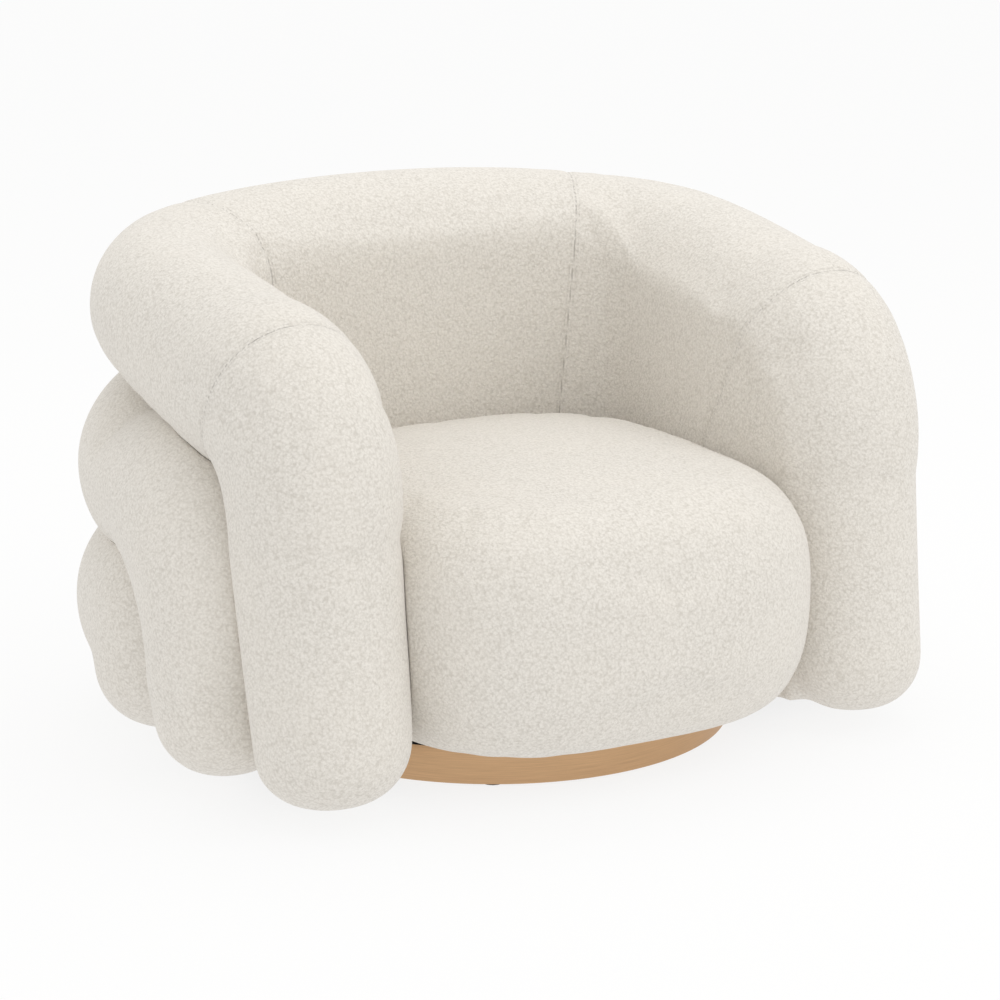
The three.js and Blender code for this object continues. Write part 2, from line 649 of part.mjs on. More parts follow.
/** The space on the sitter's side of the wall and under the top roll's centre line. */
function liningBand(grow) {
  const lowest = frameBottom + topRoll.footRound / 2;
  const padded = rollStations(topRoll).filter((station) => station.at.z > lowest);
  if (grow) padded[0].at.y -= GAP;
  const inner = (station) => -station.radius - (grow ? wall.halfWidth / 8 : 0);
  const outer = -faceOffset - (grow ? 0 : GAP);
  const low = frameBottom - (grow ? GAP : 0);
  return toSolid(strip(padded, inner, outer, low, (station) => station.at.z - (grow ? 0 : 3 * GAP)));
}

/** Everything on the sitter's side of the wall's outer face, for cutting the outer rolls flat. */
function insideWall() {
  const deep = -1.5 * middleRoll.backRadius;
  return toSolid(strip(carriedTo(seat.front), deep, faceOffset + GAP, -1, 2 * topRoll.height));
}

function makeRolls() {
  const top = rollSolid(topRoll).subtract(wallRoom()).subtract(liningBand(true));
  add('top_roll', top, boucle);
  const clearTop = rollSolid(topRoll, GAP);
  const middle = rollSolid(middleRoll).subtract(insideWall()).subtract(clearTop);
  add('middle_roll', middle, boucle);
  const clearMiddle = rollSolid(middleRoll, GAP);
  const bottom = rollSolid(bottomRoll).subtract(insideWall()).subtract(clearMiddle).subtract(clearTop);
  add('bottom_roll', bottom, boucle);
  const lining = liningBand(false).subtract(wallRoom()).subtract(top.translate([0, 0, -2 * GAP])).subtract(top);
  add('inner_back_pad', clearOfBearers(lining), boucle);
}

/** The bulging seat before anything is cut from it: one outline, drawn in towards top and bottom. */
function seatBlock() {
  const rearHalf = wall.backDepth - topRoll.backRadius + seat.tuck - seat.middle;
  const frontHalf = seat.middle - seat.front;
  const middleZ = (frameBottom + seat.edge) / 2;
  const halfHeight = (seat.edge - frameBottom) / 2;
  const outline = (inset, share, z) => Array.from({ length: SEAT_SIDES }, (_, k) => {
    const angle = (2 * Math.PI * k) / SEAT_SIDES;
    const [c, s] = [Math.cos(angle), Math.sin(angle)];
    const [power, depth] = s < 0 ? [seat.frontPower, frontHalf] : [seat.rearPower, rearHalf];
    const x = (seat.halfWidth - inset) * Math.sign(c) * Math.abs(c) ** (2 / power);
    const y = (depth - inset) * Math.sign(s) * Math.abs(s) ** (2 / power);
    return new THREE.Vector3(x * share, seat.middle + y * share, z);
  });
  const rings = [];
  for (let level = 0; level <= SEAT_LEVELS; level += 1) {
    const up = Math.sin(mix(-1, 1, level / SEAT_LEVELS) * (Math.PI / 2));
    const inset = seat.roundDepth * (1 - (1 - Math.abs(up) ** seat.sidePower) ** (1 / seat.sidePower));
    rings.push(outline(inset, 1, middleZ + halfHeight * up));
  }
  for (const share of [0.75, 0.45, 0.15]) {
    rings.push(outline(seat.roundDepth, share, seat.edge + seat.crown * (1 - share ** 2)));
  }
  return toSolid(loft(rings));
}

function makeSeat() {
  const f = frame;
  const stations = rollStations(topRoll).filter((station) => station.at.z > topRoll.footRound);
  const inner = (station) => -station.radius - GAP;
  const lining = toSolid(strip(stations, inner, wall.ribDepth, -1, (station) => station.at.z));
  const boardRoom = f.boardHalf + GAP;
  const board = toSolid(block(-boardRoom, boardRoom, -boardRoom, boardRoom, 0, bearerBottom));
  const [x, y0, y1] = [f.halfWidth + GAP, f.front - GAP, f.rear + GAP];
  const webRoom = railTop + 2 * (web.thickness + 2 * GAP);
  const box = toSolid(block(-x, x, y0, y1, bearerBottom, webRoom));
  const cushion = seatBlock().subtract(lining).subtract(rollSolid(topRoll, GAP));
  add('seat_cushion', clearOfBearers(cushion.subtract(board).subtract(box)), boucle);
}

function makeDustCover() {
  const f = frame;
  const top = frameBottom - GAP;
  const side = line.map((station) => station.at.clone().addScaledVector(station.outward, half / 2));
  const shoulder = f.halfWidth + f.block;
  const right = [[f.coverHalf, f.coverFront], [shoulder, wallFront], ...side.map((p) => [p.x, p.y])];
  const left = right.slice(0, -1).reverse().map(([px, py]) => [-px, py]);
  const sheet = new THREE.Shape([...right, ...left].map(([px, py]) => new THREE.Vector2(px, py)));
  const hole = new THREE.Path();
  hole.absarc(0, 0, f.coverHole, 0, 2 * Math.PI, true);
  sheet.holes.push(hole);
  const options = { depth: f.coverThickness, bevelEnabled: false, curveSegments: 32 };
  const cover = new THREE.ExtrudeGeometry(sheet, options);
  const sheeting = toSolid(cover.translate(0, 0, top - f.coverThickness));
  add('dust_cover', sheeting.subtract(rollSolid(topRoll, GAP)), dustCloth);
}

makePlinth();
makeBearing();
makeScrews();
makeSeatFrame();
makeWebbing();
makeWall();
makeRolls();
makeSeat();
makeDustCover();

export default chair;
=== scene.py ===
"""Look of an upholstered swivel armchair with stacked rolls, laid out as an add-on."""
import json
import math

import bpy
import numpy as np
from mathutils import Matrix, Vector, bvhtree, kdtree


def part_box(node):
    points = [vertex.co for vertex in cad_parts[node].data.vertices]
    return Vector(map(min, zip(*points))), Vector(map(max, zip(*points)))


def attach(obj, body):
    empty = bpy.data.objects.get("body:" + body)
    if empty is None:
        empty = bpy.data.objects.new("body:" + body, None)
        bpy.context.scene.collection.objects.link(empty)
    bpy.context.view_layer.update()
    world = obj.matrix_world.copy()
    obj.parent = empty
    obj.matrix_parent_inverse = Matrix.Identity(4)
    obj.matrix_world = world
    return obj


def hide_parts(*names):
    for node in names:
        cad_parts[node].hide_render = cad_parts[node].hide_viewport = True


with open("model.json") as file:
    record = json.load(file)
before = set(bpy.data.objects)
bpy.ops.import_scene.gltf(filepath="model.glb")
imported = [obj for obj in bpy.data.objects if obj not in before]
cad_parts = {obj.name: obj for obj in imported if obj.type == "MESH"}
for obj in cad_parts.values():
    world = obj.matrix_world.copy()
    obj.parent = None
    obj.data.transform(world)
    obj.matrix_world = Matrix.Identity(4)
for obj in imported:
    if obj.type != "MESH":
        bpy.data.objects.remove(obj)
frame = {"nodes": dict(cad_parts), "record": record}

bl_info = {
    "name": "Rolled Swivel Armchair",
    "version": (1, 0, 0),
    "blender": (4, 5, 0),
    "location": "View3D > Sidebar > Armchair",
    "description": "Builds the padded covers, the plinth band and the finishes of a swivel armchair",
    "category": "Object",
}

HOLD = 0.0003  # left between two covers that touch
CHAIR = "chair"  # the body that turns
PLINTH = "plinth"  # the body that stands on the floor


# ---------------------------------------------------------------- properties
def length(label, default, note):
    return bpy.props.FloatProperty(name=label, description=note, default=default, unit="LENGTH", precision=4)


def factor(label, default, note):
    return bpy.props.FloatProperty(name=label, description=note, default=default, precision=3)


def colour(label, default, note):
    return bpy.props.FloatVectorProperty(
        name=label, description=note, default=default, subtype="COLOR", size=3, min=0, max=1
    )


class WallSettings(bpy.types.PropertyGroup):
    """Line that the rolls follow in plan: straight arms that run into a superellipse behind."""

    half_width: length("Half width", 0.396, "Middle of the chair to the middle of an arm")
    back_depth: length("Back depth", 0.318, "Swivel axis to the middle of the back")
    curve_from: length("Curve from", 0.051, "Where the arm becomes the curved back")
    toe: factor("Toe", 0.03, "How much the arms close in towards the front")
    power: factor("Power", 3.0, "Squareness of the back in plan")
    drop_power: factor("Drop power", 1.85, "How late the fall of the arms sets in")
    skin: length("Skin", 0.0236, "Middle of the wall to the outside of its board")
    bury: length("Bury", 0.018, "How far the outer covers reach in past the middle of the wall")
    lining_low: length("Lining low", 0.035, "Underside of the lining beside the feet")
    lining_front: length("Lining front", -0.2, "Where the lining beside the feet ends, behind")


def roll_settings(label, sizes):
    """A property group for one roll, with its own defaults."""
    notes = {
        "out": "Centre line outside the wall's",
        "height": "Centre height at the back",
        "drop": "Fall from the back to the front of the arm",
        "leg_y": "Leg's centre line under the bend",
        "reach_y": "Length of the bend",
        "reach_z": "Height of the bend",
        "back_radius": "Half thickness at the back",
        "arm_radius": "Half thickness at the arm",
        "leg_radius": "Half thickness at the top of the leg",
        "foot_radius": "Half thickness at the foot",
        "foot_z": "Underside of the foot",
        "foot_round": "Rounding of the foot",
        "fill": "Extra thickness into the corner of the bend",
    }
    shares = {
        "lean": "Lean of the leg",
        "tall": "Height over width along the wall",
        "leg_tall": "Depth over width in the leg",
    }
    fields = {}
    for kind, wanted in ((length, notes), (factor, shares)):
        for key, note in wanted.items():
            fields[key] = kind(key.replace("_", " ").capitalize(), sizes[key], note)
    body = {"__annotations__": fields, "__doc__": f"Sizes of the {label} roll."}
    return type(f"{label.capitalize()}RollSettings", (bpy.types.PropertyGroup,), body)


TopRollSettings = roll_settings("top", {
    "out": 0.0, "height": 0.590, "drop": 0.075, "leg_y": -0.254, "reach_y": 0.150, "reach_z": 0.176,
    "back_radius": 0.104, "arm_radius": 0.109, "leg_radius": 0.102, "foot_radius": 0.092,
    "foot_z": 0.022, "foot_round": 0.072, "fill": 0.014, "lean": 0.15, "tall": 1.03, "leg_tall": 0.97,
})
MiddleRollSettings = roll_settings("middle", {
    "out": 0.023, "height": 0.403, "drop": 0.070, "leg_y": -0.113, "reach_y": 0.246, "reach_z": 0.188,
    "back_radius": 0.110, "arm_radius": 0.101, "leg_radius": 0.091, "foot_radius": 0.082,
    "foot_z": 0.022, "foot_round": 0.066, "fill": 0.054, "lean": 0.13, "tall": 1.05, "leg_tall": 1.10,
})
BottomRollSettings = roll_settings("bottom", {
    "out": 0.028, "height": 0.182, "drop": 0.013, "leg_y": 0.112, "reach_y": 0.0, "reach_z": 0.0,
    "back_radius": 0.102, "arm_radius": 0.109, "leg_radius": 0.109, "foot_radius": 0.098,
    "foot_z": 0.022, "foot_round": 0.072, "fill": 0.0, "lean": 0.10, "tall": 1.14, "leg_tall": 1.12,
})


class SeatSettings(bpy.types.PropertyGroup):
    """Sizes of the bulging seat."""

    half_width: length("Half width", 0.324, "Half of the seat's width before the lining presses it")
    front: length("Front", -0.447, "Foremost place of the seat")
    middle: length("Middle", -0.083, "Where the front half of the outline meets the rear half")
    low: length("Low", 0.058, "Underside of the seat at its rim")
    edge: length("Edge", 0.367, "Height where the flat top begins")
    crown: length("Crown", 0.018, "Rise of the top over its edge")
    round_depth: length("Round depth", 0.106, "How far the bulge draws in above and below")
    under_share: factor("Under share", 0.8, "Draw-in below as a share of the draw-in above")
    tuck: length("Tuck", 0.030, "How far the seat goes in behind the lining")
    front_power: factor("Front power", 3.0, "Squareness of the front in plan")
    rear_power: factor("Rear power", 2.65, "Squareness of the rear in plan")
    side_power: factor("Side power", 2.6, "Squareness of the bulge from the side")


class CoverSettings(bpy.types.PropertyGroup):
    """Fabric, seams and padding."""

    # dark is painted shade in the hollows between the loops; the bouclé mixes it in by loop height
    light: colour("Light loops", (0.80, 0.765, 0.71), "Colour of the raised loops")
    dark: colour("Deep loops", (0.62, 0.585, 0.53), "Colour between the loops")
    loop: length("Loop", 0.0034, "Size of a loop of the cloth")
    seam_back: factor("Back seam", 0.61, "Share of the wall from the arm's front to the back seam")
    seam_bend: factor("Bend seam", 0.25, "Share of the bend at which the arm seam crosses it")
    seam_depth: length("Seam depth", 0.0016, "Depth of the valley along a seam")
    seam_width: length("Seam width", 0.006, "Half width of the valley along a seam")
    swell: length("Swell", 0.006, "Most that a pad may swell in the simulation")
    voxel: length("Voxel", 0.007, "Grain of a cover before it is smoothed")


class PlinthSettings(bpy.types.PropertyGroup):
    """Metal band round the plinth."""

    brass: colour("Brass", (0.55, 0.35, 0.195), "Colour of the brushed band")
    bevel: length("Bevel", 0.0006, "Softened edges of the band")


GROUPS = {
    "chair_wall": WallSettings,
    "chair_top": TopRollSettings,
    "chair_middle": MiddleRollSettings,
    "chair_bottom": BottomRollSettings,
    "chair_seat": SeatSettings,
    "chair_cover": CoverSettings,
    "chair_plinth": PlinthSettings,
}


# ---------------------------------------------------------------- lines and rings
def smooth(t):
    c = np.clip(t, 0, 1)
    return c * c * (3 - 2 * c)


def wall_line(wall, out, front_y, step):
    """Places, outward directions and shares along the right half of the wall's line."""
    half, depth = wall.half_width + out, wall.back_depth - wall.curve_from + out
    angle = np.linspace(0, math.pi / 2, 1200)
    x = half * np.abs(np.cos(angle)) ** (2 / wall.power)
    y = wall.curve_from + depth * np.sin(angle) ** (2 / wall.power)
    x[-1] = 0
    x, y = x[y >= front_y], y[y >= front_y]
    if front_y < wall.curve_from:
        ahead = np.linspace(wall.curve_from - front_y, 0, 60)[:-1]
        x = np.r_[half - wall.toe * ahead, x]
        y = np.r_[wall.curve_from - ahead, y]
    along = np.r_[0, np.cumsum(np.hypot(np.diff(x), np.diff(y)))]
    count = max(8, round(along[-1] / step))
    at = np.linspace(0, along[-1], count + 1)
    px, py = np.interp(at, along, x), np.interp(at, along, y)
    tx, ty = np.gradient(px), np.gradient(py)
    size = np.hypot(tx, ty)
    outward = np.stack([ty / size, -tx / size], 1)
    outward[-1] = (0, 1)
    return np.stack([px, py], 1), outward, at / along[-1]


class Stations:
    """Centre line of half a roll, with its section at each place and a tag for seams."""

    def __init__(self):
        self.at, self.outward, self.radius, self.tall, self.fill, self.tag = [], [], [], [], [], []

    def put(self, at, outward, radius, tall, fill, tag):
        self.at.append(at)
        self.outward.append((outward[0], outward[1], 0.0))
        self.radius.append(radius)
        self.tall.append(tall)
        self.fill.append(fill)
        self.tag.append(tag)

    def arrays(self):
        parts = (self.at, self.outward, self.radius, self.tall, self.fill, self.tag)
        return [np.array(part, float) for part in parts]


BEND_BLEND = 1.3  # bends from the leg over which its section turns into the wall's


def roll_height(wall, roll, share):
    return roll.height - roll.drop * (1 - share) ** wall.drop_power


def bend_ends(wall, roll, step):
    at, outward, _ = wall_line(wall, roll.out, roll.leg_y + roll.reach_y, step)
    start = np.array([at[0][0], at[0][1], roll_height(wall, roll, 0)])
    ahead = np.array([outward[0][1], -outward[0][0], 0.0])
    end = start + ahead * roll.reach_y
    end[2] = start[2] - roll.reach_z
    return start, end, ahead, outward[0]


def leg_stations(wall, roll, top, step, into):
    _, end, _, outward = bend_ends(wall, roll, step)
    length_up = top - roll.foot_z
    ups = list(roll.foot_round * (1 - np.cos(np.linspace(0, math.pi / 2, 14)))[:-1])
    ups += list(np.linspace(roll.foot_round, length_up, max(4, round((length_up - roll.foot_round) / step))))
    for up in ups:
        at = (end[0], end[1] - roll.lean * (length_up - up), roll.foot_z + up)
        radius = roll.foot_radius + (roll.leg_radius - roll.foot_radius) * up / length_up
        near = max(0.0, 1 - up / roll.foot_round)
        radius -= roll.foot_round * (1 - math.sqrt(max(0.0, 1 - near ** 2)))
        into.put(at, outward, radius, roll.leg_tall, 0, -2 + up / length_up)


def wall_stations(wall, roll, step, into):
    at, outward, share = wall_line(wall, roll.out, roll.leg_y + roll.reach_y, step)
    for place, out, s in zip(at, outward, share):
        radius = roll.arm_radius + (roll.back_radius - roll.arm_radius) * float(smooth(s * 2))
        tall = roll.leg_tall + (roll.tall - roll.leg_tall) * float(smooth((1 + s) / BEND_BLEND))
        into.put((place[0], place[1], roll_height(wall, roll, s)), out, radius, tall, 0, s)


def roll_stations(wall, roll, step):
    """The whole half roll: foot, leg, bend and wall, tagged -2..-1, -1..0 and 0..1."""
    line = Stations()
    start, end, ahead, outward = bend_ends(wall, roll, step)
    leg_stations(wall, roll, end[2], step, line)
    count = max(6, round(math.hypot(roll.reach_y, roll.reach_z) / step))
    for i in range(count - 1, 0, -1):
        angle = math.pi / 2 * i / count
        at = start + ahead * roll.reach_y * math.sin(angle)
        at[2] -= roll.reach_z * (1 - math.cos(angle))
        share = 1 - i / count
        radius = roll.leg_radius + (roll.arm_radius - roll.leg_radius) * share
        tall = roll.leg_tall + (roll.tall - roll.leg_tall) * float(smooth(share / BEND_BLEND))
        line.put(at, outward, radius, tall, roll.fill * math.sin(2 * angle), -1 + share)
    wall_stations(wall, roll, step, line)
    return line


def tube_rings(line, sides, last=None, inner_flat=None):
    """Elliptical rings round stations. inner_flat stops the inner side at that offset from the line."""
    at, outward, radius, tall, fill, _ = line.arrays()
    along = np.gradient(at, axis=0)
    if last is not None:
        along[-1] = last
    up = np.cross(outward, along)
    up /= np.linalg.norm(up, axis=1)[:, None]
    angle = np.linspace(0, 2 * math.pi, sides, endpoint=False)
    across = radius[:, None] * np.cos(angle)[None]
    if inner_flat is not None:
        across = np.maximum(across, inner_flat)
    high = (radius * tall + fill / 2)[:, None] * np.sin(angle)[None] + (fill / 2)[:, None]
    return at[:, None] + outward[:, None] * across[..., None] + up[:, None] * high[..., None]


def both_sides(rings):
    flipped = rings[:-1][::-1].copy()
    flipped[..., 0] *= -1
    return np.concatenate([rings, flipped])


def add_loft(verts, faces, rings):
    """Adds a closed loft through rings to vertex and face lists."""
    base = len(verts)
    rows, sides = rings.shape[:2]
    verts.extend(map(tuple, rings.reshape(-1, 3)))
    for r in range(rows - 1):
        for k in range(sides):
            a, b = base + r * sides + k, base + r * sides + (k + 1) % sides
            faces.append((a, b, b + sides, a + sides))
    for row, turned in ((0, True), (rows - 1, False)):
        verts.append(tuple(rings[row].mean(axis=0)))
        centre = len(verts) - 1
        for k in range(sides):
            a, b = base + row * sides + k, base + row * sides + (k + 1) % sides
            faces.append((centre, b, a) if turned else (centre, a, b))


# ---------------------------------------------------------------- mesh helpers
def only(obj):
    """Selects one object alone and makes it active."""
    if bpy.context.object and bpy.context.object.mode != "OBJECT":
        bpy.ops.object.mode_set(mode="OBJECT")
    bpy.ops.object.select_all(action="DESELECT")
    obj.hide_set(False)
    obj.select_set(True)
    bpy.context.view_layer.objects.active = obj


def new_object(name, verts, faces):
    mesh = bpy.data.meshes.new(name)
    mesh.from_pydata([tuple(v) for v in verts], [], faces)
    mesh.update()
    obj = bpy.data.objects.new(name, mesh)
    bpy.context.scene.collection.objects.link(obj)
    only(obj)
    bpy.ops.object.mode_set(mode="EDIT")
    bpy.ops.mesh.select_all(action="SELECT")
    bpy.ops.mesh.normals_make_consistent(inside=False)
    bpy.ops.object.mode_set(mode="OBJECT")
    return obj


def apply_modifier(obj, kind, name, **settings):
    only(obj)
    modifier = obj.modifiers.new(name, kind)
    for key, value in settings.items():
        setattr(modifier, key, value)
    bpy.ops.object.modifier_apply(modifier=modifier.name)


def remesh(obj, voxel):
    apply_modifier(obj, "REMESH", "Skin", mode="VOXEL", voxel_size=voxel, use_smooth_shade=True)


def hold_points(obj, held):
    """Keeps the points that rest on the frame in one group, and the free ones in another."""
    obj.vertex_groups.clear()
    for name, chosen in (("held", held), ("free", ~held)):
        group = obj.vertex_groups.new(name=name)
        group.add([int(i) for i in np.nonzero(chosen)[0]], 1.0, "REPLACE")


def relax(obj, times, share=0.5):
    group = "free" if "free" in obj.vertex_groups else ""
    apply_modifier(obj, "SMOOTH", "Relax", factor=share, iterations=times, vertex_group=group)


def coordinates(obj):
    co = np.empty(len(obj.data.vertices) * 3)
    obj.data.vertices.foreach_get("co", co)
    return co.reshape(-1, 3)


def move_to(obj, co):
    obj.data.vertices.foreach_set("co", co.ravel())
    obj.data.update()


def normals(obj):
    found = np.empty(len(obj.data.vertices) * 3)
    obj.data.vertices.foreach_get("normal", found)
    return found.reshape(-1, 3)


def tree_of(obj):
    mesh = obj.data
    return bvhtree.BVHTree.FromPolygons([v.co for v in mesh.vertices], [p.vertices for p in mesh.polygons])


SEARCH = 0.06  # how far from a point a neighbour's face is looked for
DEEPEST = 0.05  # points deeper than this inside a neighbour stay


def press_back(obj, others, hold):
    """Moves what lies inside, or nearer than hold to, other closed covers back out to their faces."""
    co = coordinates(obj)
    for tree in others:
        for i, place in enumerate(co):
            near, normal, _, away = tree.find_nearest(Vector(place), SEARCH)
            if near is None:
                continue
            depth = (Vector(place) - near).dot(normal)
            if depth < hold and away < DEEPEST:
                co[i] = near + normal * hold
    move_to(obj, co)


SIM_FRAMES = 20


def swell(obj, most):
    """Fills a cover under pressure for a few frames, and caps how far each point may go."""
    before = coordinates(obj)
    only(obj)
    modifier = obj.modifiers.new("Fill", "CLOTH")
    cloth = modifier.settings
    cloth.quality = 4
    cloth.mass = 0.4
    cloth.tension_stiffness = 18
    cloth.compression_stiffness = 18
    cloth.bending_stiffness = 1.5
    cloth.use_pressure = True
    cloth.uniform_pressure_force = 4
    cloth.effector_weights.gravity = 0
    if "held" in obj.vertex_groups:
        cloth.vertex_group_mass = "held"
    modifier.collision_settings.use_collision = False
    modifier.point_cache.frame_start = 1
    modifier.point_cache.frame_end = SIM_FRAMES
    scene = bpy.context.scene
    for number in range(1, SIM_FRAMES + 1):
        scene.frame_set(number)
    only(obj)
    bpy.ops.object.modifier_apply(modifier=modifier.name)
    scene.frame_set(1)
    move = coordinates(obj) - before
    far = np.linalg.norm(move, axis=1)
    share = np.where(far > most, most / np.maximum(far, 1e-9), 1.0)
    move_to(obj, before + move * share[:, None])


def shade_smooth(obj):
    only(obj)
    bpy.ops.object.shade_smooth()


# ---------------------------------------------------------------- materials
def new_material(name):
    found = bpy.data.materials.new(name)
    found.use_nodes = True
    tree = found.node_tree
    tree.nodes.clear()
    return found, tree


class Nodes:
    """Short ways to add and join shader nodes."""

    def __init__(self, name):
        self.material, self.tree = new_material(name)
        self.output = self.tree.nodes.new("ShaderNodeOutputMaterial")

    def add(self, kind, inputs=(), **settings):
        node = self.tree.nodes.new("ShaderNode" + kind)
        for key, value in settings.items():
            setattr(node, key, value)
        for key, value in dict(inputs).items():
            self.feed(node, key, value)
        return node

    def feed(self, node, key, value):
        if isinstance(value, bpy.types.NodeSocket):
            self.tree.links.new(value, node.inputs[key])
        else:
            node.inputs[key].default_value = value

    def math(self, operation, *values, clamp=False):
        node = self.add("Math", operation=operation, use_clamp=clamp)
        for i, value in enumerate(values):
            self.feed(node, i, value)
        return node.outputs[0]

    def place(self):
        return self.add("TexCoord").outputs["Object"]

    def noise(self, vector, scale, detail=3.0, rough=0.55):
        node = self.add("TexNoise", {"Vector": vector, "Scale": scale, "Detail": detail, "Roughness": rough})
        return node.outputs["Fac"]

    def cells(self, vector, scale, feature="SMOOTH_F1"):
        node = self.add("TexVoronoi", feature=feature)
        self.feed(node, "Vector", vector)
        self.feed(node, "Scale", scale)
        return node.outputs["Distance"]

    def ramp(self, value, low, high, to_low=0.0, to_high=1.0):
        node = self.add("MapRange", clamp=True)
        ends = {"Value": value, "From Min": low, "From Max": high, "To Min": to_low, "To Max": to_high}
        for key, number in ends.items():
            self.feed(node, key, number)
        return node.outputs["Result"]

    def blend(self, share, first, second):
        node = self.add("Mix", data_type="RGBA")
        self.feed(node, 0, share)
        self.feed(node, 6, (*first, 1.0) if isinstance(first, tuple) else first)
        self.feed(node, 7, (*second, 1.0) if isinstance(second, tuple) else second)
        return node.outputs[2]

    def bump(self, height, strength, distance, normal=None):
        node = self.add("Bump", {"Height": height, "Strength": strength, "Distance": distance})
        if normal is not None:
            self.feed(node, "Normal", normal)
        return node.outputs["Normal"]

    def surface(self, **inputs):
        shader = self.add("BsdfPrincipled")
        for key, value in inputs.items():
            self.feed(shader, key.replace("_", " "), value)
        self.tree.links.new(shader.outputs[0], self.output.inputs[0])
        return self.material


STITCH_BESIDE = 0.0045  # the row of stitches beside a seam


def boucle_material(cover):
    """Looped wool cloth: clumped loops, small shadows between them and a soft bloom at grazing angles."""
    n = Nodes("boucle")
    place = n.place()
    wander = n.add("TexNoise", {"Vector": place, "Scale": 0.55 / cover.loop, "Detail": 2.0})
    shift = n.add("VectorMath", operation="MULTIPLY_ADD")
    n.feed(shift, 0, wander.outputs["Color"])
    n.feed(shift, 1, (cover.loop * 1.1,) * 3)
    n.feed(shift, 2, place)
    warped = shift.outputs[0]
    loops = n.cells(warped, 1 / cover.loop)
    curls = n.cells(warped, 1.9 / cover.loop)
    fuzz = n.noise(warped, 3.4 / cover.loop, 3.0, 0.6)
    clumps = n.noise(place, 0.33 / cover.loop, 3.0, 0.6)
    broad = n.noise(place, 9.0, 2.0)
    raised = n.math("SUBTRACT", 1.0, n.ramp(loops, 0.05, 0.75))
    curled = n.math("SUBTRACT", 1.0, n.ramp(curls, 0.05, 0.8))
    height = n.math("ADD", n.math("MULTIPLY", raised, 0.55), n.math("MULTIPLY", curled, 0.3))
    height = n.math("ADD", height, n.math("MULTIPLY", fuzz, 0.25))
    height = n.math("ADD", height, n.math("MULTIPLY", clumps, 0.1))
    light, dark = tuple(cover.light), tuple(cover.dark)
    # painted shade: darker where the loops lie low, lighter on the raised loops
    tone = n.blend(n.ramp(height, 0.30, 0.80), dark, light)
    warm = tuple(min(1.0, c * f) for c, f in zip(light, (1.02, 1.0, 0.97)))
    tone = n.blend(n.ramp(broad, 0.4, 0.68, 0.0, 0.12), tone, warm)
    seam = n.add("Attribute", attribute_name="seam_distance").outputs["Fac"]
    line = n.math("SUBTRACT", 1.0, n.ramp(seam, 0.0003, 0.0013))
    beside = n.math("ABSOLUTE", n.math("SUBTRACT", seam, STITCH_BESIDE))
    stitch = n.math("SUBTRACT", 1.0, n.ramp(beside, 0.0002, 0.0010))
    dashes = n.ramp(n.noise(place, 260.0, 1.0), 0.44, 0.56)
    stitch = n.math("MULTIPLY", stitch, n.math("MULTIPLY", dashes, 0.35))
    groove = n.math("MAXIMUM", line, stitch)
    shade = tuple(c * 0.62 for c in dark)
    tone = n.blend(n.math("MULTIPLY", groove, 0.55), tone, shade)
    height = n.math("SUBTRACT", height, n.math("MULTIPLY", groove, 0.9))
    normal = n.bump(height, 0.75, 0.0016)
    return n.surface(
        Base_Color=tone, Roughness=0.93, Normal=normal, Sheen_Weight=0.35, Sheen_Roughness=0.45,
        Sheen_Tint=(1.0, 0.98, 0.95, 1.0), Specular_IOR_Level=0.2,
    )


def brass_material(plinth):
    """Satin brushed brass: fine grain round the band, and slow changes of tone."""
    n = Nodes("brushed_brass")
    parts = n.add("SeparateXYZ", {0: n.place()})
    angle = n.math("ARCTAN2", parts.outputs[1], parts.outputs[0])
    grain_x, grain_z = n.math("MULTIPLY", angle, 2.2), n.math("MULTIPLY", parts.outputs[2], 420.0)
    grain_place = n.add("CombineXYZ", {0: grain_x, 1: 0.0, 2: grain_z})
    grain = n.noise(grain_place.outputs[0], 2.0, 6.0, 0.7)
    slow_x, slow_z = n.math("MULTIPLY", angle, 1.5), n.math("MULTIPLY", parts.outputs[2], 30.0)
    slow_place = n.add("CombineXYZ", {0: slow_x, 1: 0.0, 2: slow_z})
    slow = n.noise(slow_place.outputs[0], 1.3, 2.0)
    base = tuple(plinth.brass)
    deep = tuple(c * 0.82 for c in base)
    pale = tuple(min(1.0, c * 1.22) for c in base)
    tone = n.blend(n.ramp(grain, 0.3, 0.72), deep, pale)
    tone = n.blend(n.ramp(slow, 0.35, 0.7, 0.0, 0.35), tone, base)
    rough = n.ramp(grain, 0.3, 0.7, 0.34, 0.46)
    normal = n.bump(grain, 0.12, 0.0003)
    return n.surface(
        Base_Color=tone, Metallic=1.0, Roughness=rough, Normal=normal, Anisotropic=0.55,
    )


def wood_material(name, light, dark, stretch, scale):
    """Timber or plywood with grain along one way."""
    n = Nodes(name)
    place = n.add("Mapping", {"Vector": n.place(), "Scale": stretch})
    rings = n.noise(place.outputs[0], scale, 5.0, 0.6)
    pores = n.noise(place.outputs[0], scale * 6, 3.0, 0.7)
    tone = n.blend(n.ramp(rings, 0.35, 0.65), dark, light)
    tone = n.blend(n.ramp(pores, 0.55, 0.75, 0.0, 0.35), tone, dark)
    rough = n.ramp(pores, 0.3, 0.7, 0.6, 0.8)
    return n.surface(Base_Color=tone, Roughness=rough, Normal=n.bump(rings, 0.2, 0.0008))


def steel_material():
    """Zinc plated pressed steel with a fine mottle."""
    n = Nodes("zinc_steel")
    place = n.place()
    mottle = n.noise(place, 160.0, 4.0, 0.65)
    scratch = n.noise(place, 900.0, 2.0)
    tone = n.blend(n.ramp(mottle, 0.35, 0.65), (0.30, 0.31, 0.32), (0.48, 0.49, 0.50))
    rough = n.ramp(mottle, 0.3, 0.7, 0.28, 0.48)
    return n.surface(Base_Color=tone, Metallic=1.0, Roughness=rough, Normal=n.bump(scratch, 0.1, 0.0002))


